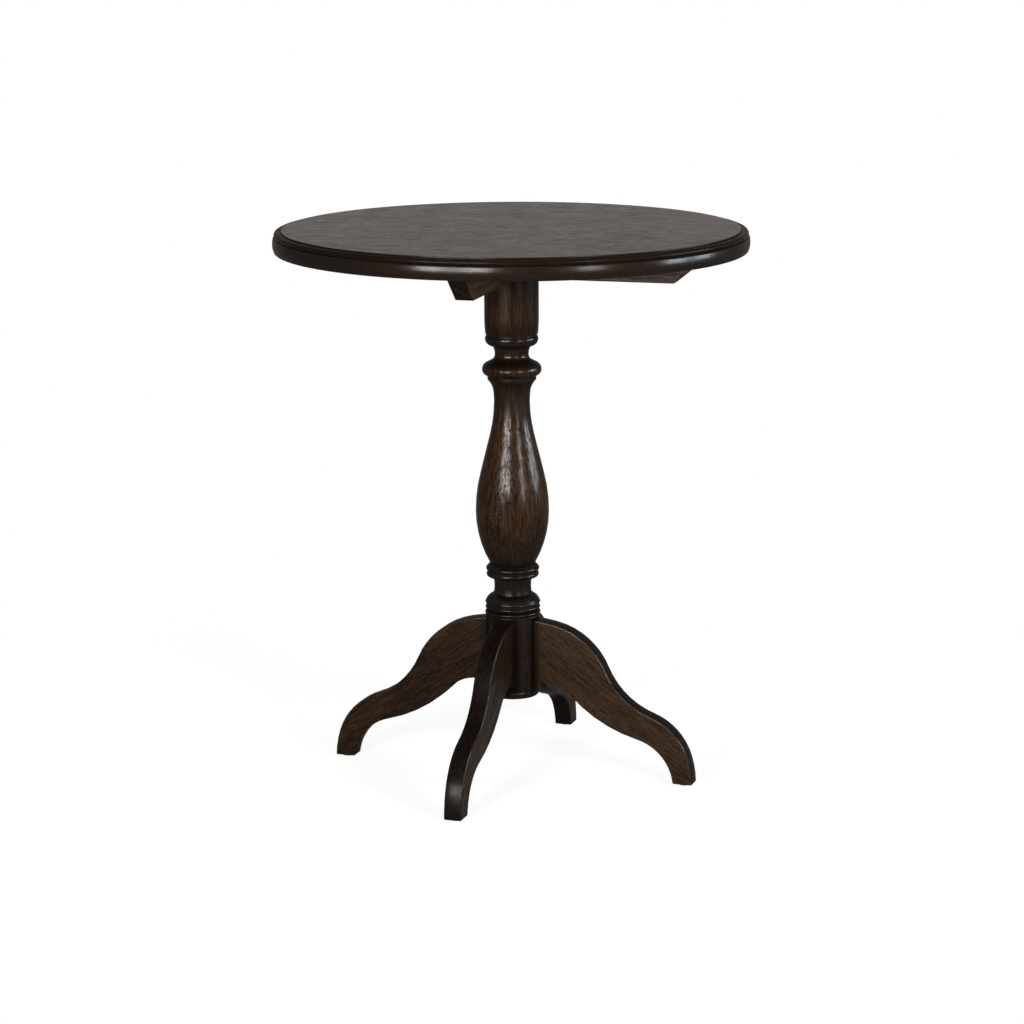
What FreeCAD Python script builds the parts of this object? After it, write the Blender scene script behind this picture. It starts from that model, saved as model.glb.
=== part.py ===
import FreeCAD, Part
import math
import os

# Round pedestal side table in dark stained timber, in millimetres.
# The origin is on the floor under the column's axis, with +Z up.
# The legs stand along -Y (front), +X (right), +Y (back) and -X (left).

# Overall sizes
table_height = 718.0
top_diameter = 610.0
top_thickness = 27.5
glide_thickness = 1.6         # the timber feet stand this far above the floor

# Table top: edge-glued boards with one turned rim moulding
board_count = 5
board_turn = 18.2             # degrees from the line of the right leg to the boards' grain
rim_width = 11.6              # from the edge of the flat field out to the full radius
rim_step = 1.8                # step down from the field
ledge_width = 5.8             # flat ledge between the step and the bead
rim_bead_height = 6.8
rim_bead_swell = 2.4
rim_quirk_inset = 3.2         # groove under the bead, in from the full radius
nose_shoulder_height = 2.2    # from the groove down to the nose's face
nose_top_inset = 0.6
nose_top_height = 7.0         # from the nose's full radius up to its shoulder
nose_foot_inset = 1.6
underside_round = 2.1
rim_bead_flat_count = 2       # straight flats that make up the bead of the rim

# Bearers: two crossed rails that are halved into each other under the top
bearer_width = 23.5
bearer_height = 36.0
bearer_length = 519.0         # along the upper edge
bearer_end_cut = 44.0         # how far each sloped end runs back along the lower edge
bearer_turn = 2.8             # degrees from the line of the right leg to the long bearer
bearer_arris = 1.0

# Loose tenons between the bearers and the top, one in each arm
bearer_tenon_reach = 150.0    # from the column's axis to the tenon's middle
bearer_tenon_length = 40.0
bearer_tenon_thickness = 8.0
bearer_tenon_depth = 12.0     # in the bearer, and again in the top

# Fits
joint_clearance = 0.1         # glue line between timber pieces that enclose each other
tenon_end_gap = 1.5           # glue space past the end of a tenon

# Column: rises from the foot up, with the radius where each moulding ends.
# A swell is how far the middle of a round stands off its chord, outwards or (below zero) inwards.
# The vase, from its foot to its neck, takes up the height that the other mouldings leave it.
column_foot = 103.4           # underside above the floor
column_foot_radius = 31.5
foot_bead_rise = 10.2
foot_bead_swell = 2.4
foot_quirk_radius = 33.6
foot_quirk_rise = 0.8
base_radius = 35.5
base_rise = 96.6
shoulder_rise = 2.0
ring_quirk_radius = 34.1      # grooves between the base, the rings and the flare
lower_ring_rise = 5.6
lower_ring_swell = 0.9
middle_ring_rise = 5.4
middle_ring_swell = 1.6
upper_ring_rise = 3.4
upper_ring_swell = 1.1
flare_lip_radius = 35.9
flare_lip_rise = 1.8
flare_rise = 10.6
flare_swell = 1.6
lower_neck_radius = 25.1
lower_neck_rise = 17.4
lower_neck_swell = -1.2
lower_bead_rise = 10.7
lower_bead_swell = 3.3
bead_quirk_radius = 33.0      # grooves either side of the thin ring between the two beads
thin_ring_rise = 2.6
thin_ring_swell = 0.45
upper_bead_rise = 9.9
upper_bead_swell = 3.0
vase_foot_radius = 29.4
belly_radius = 47.7
belly_rise = 70.0
belly_swell = 4.7
taper_radius = 41.3           # where the round of the belly runs out into the straight taper
taper_rise = 49.5
taper_swell = 1.6
stem_radius = 28.4
stem_rise = 52.1
waist_radius = 23.2
waist_rise = 41.4
waist_swell = -1.2
vase_neck_radius = 24.3
vase_neck_rise = 16.0
vase_flare_rise = 13.2
vase_flare_swell = -1.0
fillet_radius = 31.2          # narrow band between the vase's neck and the torus
fillet_rise = 3.8
torus_radius = 38.4
torus_lower_rise = 9.5
torus_lower_swell = 2.1
torus_shoulder_radius = 33.2
torus_upper_rise = 8.4
torus_upper_swell = 1.4
torus_slope_radius = 26.6     # where the slope over the torus runs into the cove
torus_slope_rise = 3.3
upper_waist_radius = 21.9
upper_cove_rise = 6.4
upper_cove_swell = -0.95
upper_neck_radius = 25.0
upper_neck_rise = 10.2
upper_neck_swell = -1.0
collar_bead_radius = 34.4
collar_bead_rise = 10.8
collar_bead_swell = 2.7
collar_shoulder_radius = 33.8
collar_shoulder_rise = 3.6
collar_groove_radius = 32.9
collar_groove_rise = 2.8
collar_groove_lip = 0.3
collar_foot_radius = 34.0
collar_ease_rise = 25.0
collar_radius = 35.15
collar_rise = 108.5           # from the groove to the underside of the top, with the ease
neck_flat_count = 2           # straight flats that make up a round of the column
ring_flat_count = 3
belly_flat_count = 3

# Legs: sawn from boards to a chain of tangent arcs, coped to the base of the column
leg_thickness = 23.5
leg_reach = 246.8             # from the axis to the end of the foot
foot_length = 26.4
leg_top_setback = 4.4         # root's upper edge below the end of the base
leg_root_setback = 10.6       # root's lower edge above the start of the base
knee_start_dip = 6.7          # degrees below level where the upper edge leaves the column
knee_points = [(24.0, 3.9), (92.8, 59.9)]     # out from the base, down from the root's upper edge
instep_points = [(56.9, 89.4), (6.0, 37.2)]   # back from the end of the foot, up from the floor
groin_start_dip = 10.4        # degrees below level where the lower edge leaves the column
groin_points = [(18.5, 2.5), (46.0, 15.6)]    # out from the base, down from the root's lower edge
arch_points = [(48.2, 57.1)]                  # back from the heel, up from the floor

# Loose tenons between legs and column
leg_tenon_thickness = 9.0
leg_tenon_depth = 18.0        # in the column, and again in the leg
leg_tenon_inset = 18.0        # from the upper and lower edge of the leg's root

# Floor glides
glide_diameter = 15.0

top_radius = top_diameter / 2
underside = table_height - top_thickness
bearer_bottom = underside - bearer_height
base_bottom = column_foot + foot_bead_rise + foot_quirk_rise
base_top = base_bottom + base_rise
leg_top = base_top - leg_top_setback
leg_root = base_bottom + leg_root_setback
heel_reach = leg_reach - foot_length
leg_turns = {"front": -90.0, "right": 0.0, "back": 90.0, "left": 180.0}
bearer_turns = {"long": bearer_turn, "cross": bearer_turn + 90.0}

UP = FreeCAD.Vector(0, 0, 1)
ORIGIN = FreeCAD.Vector(0, 0, 0)


def side_point(x, z):
    """Point of a side view: distance from the axis and height."""
    return FreeCAD.Vector(x, 0, z)


class Turning:
    """Half section of a turned piece, drawn upwards as radius and height, and revolved about the axis."""

    def __init__(self, height):
        self.points = [side_point(0, height)]
        self.edges = []

    @property
    def here(self):
        return self.points[-1]

    def line(self, radius, height):
        there = side_point(radius, height)
        self.edges.append(Part.LineSegment(self.here, there).toShape())
        self.points.append(there)

    def rise(self, radius, rise):
        self.line(radius, self.here.z + rise)

    def flats(self, radius, rise, swell, count):
        """An arc to the radius, higher by rise, turned as a few straight flats."""
        here, there = self.here, side_point(radius, self.here.z + rise)
        chord = there - here
        middle, along = (here + there) * 0.5, chord * 0.5
        outwards = FreeCAD.Vector(chord.z, 0, -chord.x).normalize()
        spread = 2 * math.atan2(swell, along.Length)
        arc_radius = along.Length / math.sin(spread)
        for i in range(1, count + 1):
            angle = spread * (2 * i / count - 1)
            stand_off = swell - arc_radius * (1 - math.cos(angle))
            point = middle + along * (math.sin(angle) / math.sin(spread)) + outwards * stand_off
            self.line(point.x, point.z)

    def solid(self):
        axis = Part.LineSegment(self.here, self.points[0]).toShape()
        return Part.Face(Part.Wire(self.edges + [axis])).revolve(ORIGIN, UP, 360)


def tangent_arcs(start, heading, points):
    """Edges of a chain of arcs in the side view that leaves start at the heading (radians above level)."""
    edges = []
    for end in points:
        chord = math.atan2(end.z - start.z, end.x - start.x)
        turn = chord - heading
        reach = start.distanceToPoint(end) / (2 * math.cos(turn / 2))
        bend = heading + turn / 2
        middle = start + side_point(reach * math.cos(bend), reach * math.sin(bend))
        edges.append(Part.Arc(start, middle, end).toShape())
        start, heading = end, chord + turn
    return edges


def cylinder(diameter, length, base):
    return Part.makeCylinder(diameter / 2, length, base, UP)


def turned(shape, degrees):
    copy = shape.copy()
    copy.rotate(ORIGIN, UP, degrees)
    return copy


def save(name, *solids):
    shape = solids[0] if len(solids) == 1 else Part.makeCompound(list(solids))
    shape.exportStep(os.path.join("parts", name + ".step"))


def top_blank():
    """The whole round top with its step, ledge, bead, quirk and rounded nose."""
    field_radius = top_radius - rim_width
    ledge = table_height - rim_step
    quirk = ledge - rim_bead_height
    blank = Turning(underside)
    blank.line(top_radius - nose_foot_inset - underside_round, underside)
    blank.rise(top_radius - nose_foot_inset, underside_round)
    blank.line(top_radius, quirk - nose_shoulder_height - nose_top_height)
    blank.rise(top_radius - nose_top_inset, nose_top_height)
    blank.line(top_radius - rim_quirk_inset, quirk)
    blank.flats(field_radius + ledge_width, rim_bead_height, rim_bead_swell, rim_bead_flat_count)
    blank.line(field_radius, ledge)
    blank.line(field_radius, table_height)
    blank.line(0, table_height)
    return blank.solid()


def top_boards():
    """The top cut along its glue lines, with the mortises for the bearers' tenons."""
    blank = top_blank()
    for turn in bearer_turns.values():
        for x in bearer_tenon_places():
            blank = blank.cut(turned(bearer_mortise(x), turn))
    width = top_diameter / board_count
    boards = []
    for i in range(board_count):
        corner = FreeCAD.Vector(-top_radius, i * width - top_radius, underside)
        slab = Part.makeBox(top_diameter, width, top_thickness, corner)
        boards.append(blank.common(turned(slab, board_turn)))
    return boards


def vase_stretch(vase_foot):
    """How far the vase's rises are drawn out, or in, to meet the mouldings that hang from the top."""
    hanging_rise = collar_rise + collar_groove_rise + 2 * collar_groove_lip
    hanging_rise += collar_shoulder_rise + collar_bead_rise + upper_neck_rise + upper_cove_rise
    hanging_rise += torus_slope_rise + torus_upper_rise + torus_lower_rise + fillet_rise + vase_flare_rise
    drawn_rise = belly_rise + taper_rise + stem_rise + waist_rise + vase_neck_rise
    return (underside - hanging_rise - vase_foot) / drawn_rise


def column_stack():
    """The turned column before its bridle slots and mortises are cut."""
    stack = Turning(column_foot)
    stack.line(column_foot_radius, column_foot)
    stack.flats(foot_quirk_radius, foot_bead_rise, foot_bead_swell, ring_flat_count)
    stack.rise(base_radius, foot_quirk_rise)
    stack.rise(base_radius, base_rise)
    stack.rise(ring_quirk_radius, shoulder_rise)
    stack.flats(ring_quirk_radius, lower_ring_rise, lower_ring_swell, neck_flat_count)
    stack.flats(ring_quirk_radius, middle_ring_rise, middle_ring_swell, ring_flat_count)
    stack.flats(ring_quirk_radius, upper_ring_rise, upper_ring_swell, neck_flat_count)
    stack.rise(flare_lip_radius, flare_lip_rise)
    stack.flats(lower_neck_radius, flare_rise, flare_swell, ring_flat_count)
    stack.flats(lower_neck_radius, lower_neck_rise, lower_neck_swell, neck_flat_count)
    stack.flats(bead_quirk_radius, lower_bead_rise, lower_bead_swell, ring_flat_count)
    stack.flats(bead_quirk_radius, thin_ring_rise, thin_ring_swell, neck_flat_count)
    stack.flats(vase_foot_radius, upper_bead_rise, upper_bead_swell, ring_flat_count)
    stretch = vase_stretch(stack.here.z)
    stack.flats(belly_radius, belly_rise * stretch, belly_swell, belly_flat_count)
    stack.flats(taper_radius, taper_rise * stretch, taper_swell, neck_flat_count)
    stack.rise(stem_radius, stem_rise * stretch)
    stack.flats(waist_radius, waist_rise * stretch, waist_swell, neck_flat_count)
    stack.rise(vase_neck_radius, vase_neck_rise * stretch)
    stack.flats(fillet_radius, vase_flare_rise, vase_flare_swell, neck_flat_count)
    stack.rise(fillet_radius, fillet_rise)
    stack.flats(torus_radius, torus_lower_rise, torus_lower_swell, ring_flat_count)
    stack.flats(torus_shoulder_radius, torus_upper_rise, torus_upper_swell, neck_flat_count)
    stack.rise(torus_slope_radius, torus_slope_rise)
    stack.flats(upper_waist_radius, upper_cove_rise, upper_cove_swell, neck_flat_count)
    stack.flats(upper_neck_radius, upper_neck_rise, upper_neck_swell, neck_flat_count)
    stack.flats(collar_bead_radius, collar_bead_rise, collar_bead_swell, ring_flat_count)
    stack.rise(collar_shoulder_radius, collar_shoulder_rise)
    stack.rise(collar_groove_radius, collar_groove_lip)
    stack.rise(collar_groove_radius, collar_groove_rise)
    stack.rise(collar_foot_radius, collar_groove_lip)
    stack.rise(collar_radius, collar_ease_rise)
    stack.line(collar_radius, underside)
    stack.line(0, underside)
    return stack.solid()


def column():
    """The turned column with a cross-shaped bridle for the bearers and a mortise for each leg."""
    stack = column_stack()
    slot_width = bearer_width + 2 * joint_clearance
    slot_corner = FreeCAD.Vector(-top_radius, -slot_width / 2, bearer_bottom)
    slot = Part.makeBox(top_diameter, slot_width, bearer_height, slot_corner)
    for turn in bearer_turns.values():
        stack = stack.cut(turned(slot, turn))
    for turn in leg_turns.values():
        stack = stack.cut(turned(leg_mortise(), turn))
    return stack


def bearer_beam(lower_notch):
    """One bearer along X with sloped ends, halved at its middle from below or from above."""
    top_half, low_half = bearer_length / 2, bearer_length / 2 - bearer_end_cut
    outline = [(-top_half, underside), (-low_half, bearer_bottom)]
    outline += [(low_half, bearer_bottom), (top_half, underside)]
    corners = [FreeCAD.Vector(x, -bearer_width / 2, z) for x, z in outline]
    beam = Part.Face(Part.makePolygon(corners + corners[:1])).extrude(FreeCAD.Vector(0, bearer_width, 0))
    low_edges = [e for e in beam.Edges if e.BoundBox.ZMax < bearer_bottom + bearer_arris]
    beam = beam.makeChamfer(bearer_arris, low_edges)
    notch_width = bearer_width + 2 * joint_clearance
    notch_floor = bearer_bottom if lower_notch else bearer_bottom + bearer_height / 2
    corner = FreeCAD.Vector(-notch_width / 2, -bearer_width, notch_floor)
    beam = beam.cut(Part.makeBox(notch_width, 2 * bearer_width, bearer_height / 2, corner))
    for x in bearer_tenon_places():
        beam = beam.cut(bearer_mortise(x))
    return beam


def centred_block(length, width, height, centre):
    return Part.makeBox(length, width, height, centre - FreeCAD.Vector(length, width, height) * 0.5)


def bearer_tenon_places():
    return [-bearer_tenon_reach, bearer_tenon_reach]


def bearer_tenon(x):
    centre = FreeCAD.Vector(x, 0, underside)
    return centred_block(bearer_tenon_length, bearer_tenon_thickness, 2 * bearer_tenon_depth, centre)


def bearer_mortise(x):
    """Room for one bearer tenon, half in the bearer and half in the top."""
    centre = FreeCAD.Vector(x, 0, underside)
    length = bearer_tenon_length + 2 * tenon_end_gap
    width = bearer_tenon_thickness + 2 * joint_clearance
    return centred_block(length, width, 2 * (bearer_tenon_depth + tenon_end_gap), centre)


def leg_edge(root, dip, root_points, foot_points, foot_reach):
    """One long edge of the leg's side view, from the column's base to the sole of the foot."""
    points = [side_point(base_radius + out, root - drop) for out, drop in root_points]
    points += [side_point(foot_reach - back, z) for back, z in foot_points]
    points += [side_point(foot_reach, glide_thickness)]
    return tangent_arcs(side_point(base_radius, root), -math.radians(dip), points)


def leg_board():
    """The right leg: an S-curve sawn from a board, with a root coped to the column and a mortise."""
    outline = leg_edge(leg_top, knee_start_dip, knee_points, instep_points, leg_reach)
    outline += leg_edge(leg_root, groin_start_dip, groin_points, arch_points, heel_reach)
    corners = [side_point(base_radius, leg_top), side_point(0, leg_top), side_point(0, leg_root),
               side_point(base_radius, leg_root)]
    outline += [Part.LineSegment(a, b).toShape() for a, b in zip(corners, corners[1:])]
    toe, heel = side_point(leg_reach, glide_thickness), side_point(heel_reach, glide_thickness)
    outline.append(Part.LineSegment(toe, heel).toShape())
    side = Part.Face(Part.Wire(Part.__sortEdges__(outline)))
    side.translate(FreeCAD.Vector(0, -leg_thickness / 2, 0))
    board = side.extrude(FreeCAD.Vector(0, leg_thickness, 0))
    cope = cylinder(2 * (base_radius + joint_clearance), base_rise, FreeCAD.Vector(0, 0, base_bottom))
    return board.cut(cope).cut(leg_mortise())


def leg_tenon():
    centre = FreeCAD.Vector(base_radius, 0, (leg_top + leg_root) / 2)
    height = leg_top - leg_root - 2 * leg_tenon_inset
    return centred_block(2 * leg_tenon_depth, leg_tenon_thickness, height, centre)


def leg_mortise():
    """Room for the right leg's tenon, half in the column and half in the leg."""
    centre = FreeCAD.Vector(base_radius, 0, (leg_top + leg_root) / 2)
    height = leg_top - leg_root - 2 * leg_tenon_inset + 2 * joint_clearance
    width = leg_tenon_thickness + 2 * joint_clearance
    return centred_block(2 * (leg_tenon_depth + tenon_end_gap), width, height, centre)


def glide():
    return cylinder(glide_diameter, glide_thickness, FreeCAD.Vector((leg_reach + heel_reach) / 2, 0, 0))


def build():
    os.makedirs("parts", exist_ok=True)
    for number, board in enumerate(top_boards(), start=1):
        save(f"top_board_{number}", board)
    for name, turn in bearer_turns.items():
        save(f"bearer_{name}", turned(bearer_beam(lower_notch=(name == "cross")), turn))
    tenons = [turned(bearer_tenon(x), turn) for turn in bearer_turns.values() for x in bearer_tenon_places()]
    save("bearer_tenons", *tenons)
    save("column", column())
    for name, turn in leg_turns.items():
        save(f"leg_{name}", turned(leg_board(), turn))
        save(f"leg_tenon_{name}", turned(leg_tenon(), turn))
    save("foot_glides", *[turned(glide(), turn) for turn in leg_turns.values()])


build()
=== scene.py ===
import math
from collections import namedtuple

import bmesh
import bpy
from mathutils import Matrix, Vector


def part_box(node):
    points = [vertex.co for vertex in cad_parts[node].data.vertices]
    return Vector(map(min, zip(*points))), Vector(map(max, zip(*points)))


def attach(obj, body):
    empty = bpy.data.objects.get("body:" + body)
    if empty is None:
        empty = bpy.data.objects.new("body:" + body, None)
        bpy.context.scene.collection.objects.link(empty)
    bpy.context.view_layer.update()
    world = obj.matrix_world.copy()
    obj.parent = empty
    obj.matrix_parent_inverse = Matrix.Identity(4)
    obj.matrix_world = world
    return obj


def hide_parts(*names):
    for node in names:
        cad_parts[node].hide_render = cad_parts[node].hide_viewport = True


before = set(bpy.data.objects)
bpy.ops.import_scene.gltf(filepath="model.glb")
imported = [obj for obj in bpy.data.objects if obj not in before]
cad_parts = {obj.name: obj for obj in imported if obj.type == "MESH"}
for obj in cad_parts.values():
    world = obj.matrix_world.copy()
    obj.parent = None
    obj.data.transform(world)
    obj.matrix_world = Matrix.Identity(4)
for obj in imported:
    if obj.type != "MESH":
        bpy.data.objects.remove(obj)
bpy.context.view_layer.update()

bl_info = {
    "name": "Pedestal side table",
    "version": (1, 0, 0),
    "blender": (4, 5, 0),
    "location": "3D View > Sidebar > Side table",
    "description": "Builds a round pedestal side table in dark stained timber, with its stage",
    "category": "Object",
}

MM = 0.001
BOARDS = ["top_board_1", "top_board_2", "top_board_3", "top_board_4", "top_board_5"]
BEARER_TURNS = {"bearer_long": 0.0, "bearer_cross": 90.0}
LEG_TURNS = {"leg_front": -90.0, "leg_right": 0.0, "leg_back": 90.0, "leg_left": 180.0}
TENONS = ["bearer_tenons", "leg_tenon_front", "leg_tenon_right", "leg_tenon_back", "leg_tenon_left"]

# Painted light and shade on whole boards: how far a board's stain is taken darker, below 0 for a paler one,
# and how far its light tone is taken paler. The back leg is darkest as painted shade, the right leg palest
# as painted light, and the bearers are paled as painted light.
BEARER_LIGHT_DEPTH = -0.1
LEG_SHADE_DEPTHS = {"leg_front": 0.48, "leg_right": 0.0, "leg_back": 0.7, "leg_left": 0.2}
LEG_LIGHT_PALING = {"leg_front": 0.3, "leg_right": 0.4, "leg_back": 0.0, "leg_left": 0.0}

# Column, from the foot up, in mm: the radius where the moulding ends, its rise and how far its round stands
# off the chord. The last number is how dark the stain is taken there: dark glaze, and painted shade that is
# deepest in the grooves and hollows, under the top and on the lower column.
COLUMN_FOOT_RADIUS = 31.5
COLUMN_FOOT_GLAZE_AND_SHADE = 0.95
COLUMN_MOULDINGS = [
    ("foot bead", 33.6, 10.2, 2.4, 0.95),
    ("foot quirk", 35.5, 0.8, 0.0, 0.97),
    ("base", 35.5, 96.4, 0.0, 0.94),
    ("shoulder", 34.6, 1.6, 0.45, 0.93),
    ("ring quirk", 34.3, 0.5, 0.0, 0.97),
    ("lower ring", 33.6, 4.6, 2.2, 0.94),
    ("ring slope", 35.8, 4.1, 0.0, 0.85),
    ("upper ring", 34.4, 2.8, 0.45, 0.90),
    ("ring groove", 34.3, 2.6, 0.0, 0.97),
    ("flare lip", 36.0, 1.2, 0.1, 0.85),
    ("flare edge", 35.3, 2.2, 0.22, 0.85),
    ("flare", 25.1, 9.4, 1.7, 0.90),
    ("lower neck", 25.1, 20.7, -1.2, 0.88),
    ("bead underside", 31.8, 1.8, 0.0, 0.97),
    ("lower bead", 33.2, 6.2, 1.6, 0.80),
    ("bead groove floor", 32.8, 0.4, 0.0, 0.97),
    ("bead groove", 32.8, 1.8, 0.0, 0.97),
    ("upper bead", 33.4, 5.4, 1.6, 0.80),
    ("upper bead slope", 29.4, 4.3, 0.2, 0.96),
    ("belly", 47.7, 70.0, 4.7, 0.03),
    ("taper", 41.3, 49.5, 1.6, 0.00),
    ("stem", 28.4, 52.1, 0.0, 0.00),
    ("waist", 23.2, 41.4, -1.2, 0.48),
    ("vase neck", 24.3, 16.0, -0.25, 0.75),
    ("vase flare", 31.6, 13.2, -1.0, 0.94),
    ("fillet", 31.6, 5.0, 0.0, 0.92),
    ("lower torus", 38.4, 8.3, 2.1, 0.42),
    ("upper torus", 33.2, 8.4, 1.4, 0.50),
    ("torus slope", 26.6, 3.3, 0.0, 0.70),
    ("upper cove", 21.9, 6.4, -0.95, 0.52),
    ("upper neck", 25.0, 12.2, -1.0, 0.84),
    ("collar bead", 34.4, 8.8, 2.6, 0.84),
    ("collar shoulder", 33.8, 3.6, 0.25, 0.90),
    ("groove floor", 32.9, 0.3, 0.0, 0.95),
    ("groove", 32.9, 2.8, 0.0, 0.95),
    ("collar foot", 34.0, 0.3, 0.0, 0.80),
    ("collar ease", 35.15, 25.0, 0.38, 0.20),
    ("collar", 35.15, 40.0, 0.0, 0.85),
    ("collar head", 35.15, 43.5, 0.0, 1.00),
]

# Dark glaze and painted shade on the shaped edges, and painted shade on the legs beside the column, where 1
# hides the grain
RIM_GLAZE_AND_SHADE = 0.78
BEARER_EDGE_GLAZE_AND_SHADE = 1.0
LEG_EDGE_GLAZE_AND_SHADE = 0.96
LEG_ROOT_SHADE = 0.9
# Where a leg is cut for its painted shade beside the column, which runs out at the last cut, in mm from the
# axis
LEG_ROOT_CUTS = [37.5, 39.5, 42.0]
# Painted shade on the base of the column beside the legs: how much lighter the base is between the legs,
# and from what angle off a leg to what angle it lightens, in degrees
BASE_LIGHTER_BETWEEN_LEGS = 0.28
BASE_CORNER_ANGLES = (23.0, 39.0)

# How dull the lacquer is, where 1 has no gloss
BEAD_DULL = 0.8
COLLAR_DULL = 0.5
BASE_CORNER_DULL = 0.85
LEG_EDGE_DULL = 0.66
BEARER_EDGE_DULL = 0.8

# Leg edges in the side view, in mm: where the edge leaves the column, its slope there in degrees, and the
# ends of its arcs
LEG_ROOT_INSET = 2.1
KNEE_ROOT = (35.5, 206.6)
KNEE_SLOPE = -6.7
KNEE_POINTS = [(59.5, 202.7), (128.3, 146.7), (189.9, 89.4), (240.8, 37.2), (246.8, 1.6)]
GROIN_ROOT = (35.5, 125.0)
GROIN_SLOPE = -10.4
GROIN_POINTS = [(54.0, 122.5), (81.5, 109.4), (172.2, 57.1), (220.4, 1.6)]

# Clear coat: its weight seen square on and aslant, its roughness, and how far the grain breaks it
Gloss = namedtuple("Gloss", ["weight", "edge_weight", "roughness", "relief"])
TOP_GLOSS = Gloss(0.09, 0.172, 0.19, 0.46)
COLUMN_GLOSS = Gloss(0.085, 0.02, 0.23, 0.95)
LEG_GLOSS = Gloss(0.09, 0.04, 0.24, 0.80)
BEARER_GLOSS = Gloss(0.07, 0.03, 0.30, 0.50)
TENON_GLOSS = Gloss(0.10, 0.10, 0.50, 0.20)
TIMBER_SPECULAR = 0.005
TENON_ROUGHNESS = 0.62
# How much rougher the timber is than the column's
TOP_MATT = 0.08
BEARER_MATT = 0.12
LEG_MATT = 0.06

# Timber figure: widths across the grain, and how many times their width the fibres are long
Figure = namedtuple("Figure", ["band", "streak", "pore", "fibre", "fibre_run"])
PLAIN_FIGURE = Figure(30.0 * MM, 4.5 * MM, 1.4 * MM, 1.2 * MM, 5.0)
TOP_FIGURE = Figure(8.0 * MM, 1.3 * MM, 2.6 * MM, 3.0 * MM, 3.0)
COLUMN_FIGURE = Figure(14.0 * MM, 2.8 * MM, 1.6 * MM, 1.3 * MM, 5.0)
LEG_FIGURE = Figure(22.0 * MM, 2.2 * MM, 1.0 * MM, 0.9 * MM, 5.0)
TOP_UPRIGHT_SCALE = 3.0

# Soft lamps: degrees to the right of the camera and above level, width and height in metres, power in
# watts, colour, and whether it lights only the gloss
Lamp = namedtuple("Lamp", ["azimuth", "elevation", "width", "height", "power", "tint", "only_gloss"])
LAMPS = {
    "left_lamp": Lamp(-26.0, 10.1, 0.45, 0.67, 36.0, (1.0, 0.98, 0.95), False),
    "right_lamp": Lamp(35.0, 10.1, 0.40, 0.67, 34.0, (1.0, 0.98, 0.96), False),
    "side_lamp": Lamp(89.0, 10.1, 0.40, 0.67, 12.0, (0.82, 0.92, 1.0), False),
    "top_lamp": Lamp(180.0, 75.0, 1.20, 1.2, 16.0, (1.0, 0.97, 0.93), False),
    "left_glint": Lamp(-26.0, 10.1, 1.50, 0.67, 260.0, (1.0, 0.99, 0.97), True),
    "right_glint": Lamp(35.0, 10.1, 0.35, 0.67, 72.0, (1.0, 0.99, 0.97), True),
    "side_glint": Lamp(89.0, 10.1, 1.40, 0.67, 200.0, (0.80, 0.91, 1.0), True),
}
FLOOR_RADIUS = 40.0
FLOOR_LIFT = 0.88
SENSOR_MM = 36.0

# Limits of the mesh work
CORNER_ANGLE = math.radians(30.0)
SHARP_ANGLE = math.radians(35.0)
FULL_WEAR_ANGLE = math.radians(50.0)
CUT_TOLERANCE = 0.001 * MM
MERGE_DISTANCE = 0.01 * MM
MARK_MARGIN = 0.1 * MM
# How far the normal of a board's flat side points to the side at least, and that of its edge at most
FLAT_FACING = 0.999
EDGE_FACING = 0.2


def top_box():
    """Corners of the box round all the boards of the top."""
    boxes = [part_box(board) for board in BOARDS]
    low = Vector(min(box[0][i] for box in boxes) for i in range(3))
    high = Vector(max(box[1][i] for box in boxes) for i in range(3))
    return low, high


TOP_LOW, TOP_HIGH = top_box()
TOP_RADIUS = min(TOP_HIGH.x, TOP_HIGH.y, -TOP_LOW.x, -TOP_LOW.y)


def length(name, description, default):
    return bpy.props.FloatProperty(
        name=name, description=description, default=default, unit="LENGTH", precision=4)


def angle(name, description, degrees):
    return bpy.props.FloatProperty(
        name=name, description=description, default=math.radians(degrees), subtype="ANGLE")


def colour(name, description, default):
    return bpy.props.FloatVectorProperty(
        name=name, description=description, default=default, size=3, min=0.0, max=1.0, subtype="COLOR")


def factor(name, description, default):
    return bpy.props.FloatProperty(
        name=name, description=description, default=default, min=0.0, max=1.0, subtype="FACTOR")


def turning_steps(description, default, most):
    return bpy.props.IntProperty(
        name="Turning steps", description=description, default=default, min=32, max=most)


def settings_of(kind, name, description):
    return bpy.props.PointerProperty(type=kind, name=name, description=description)


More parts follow.
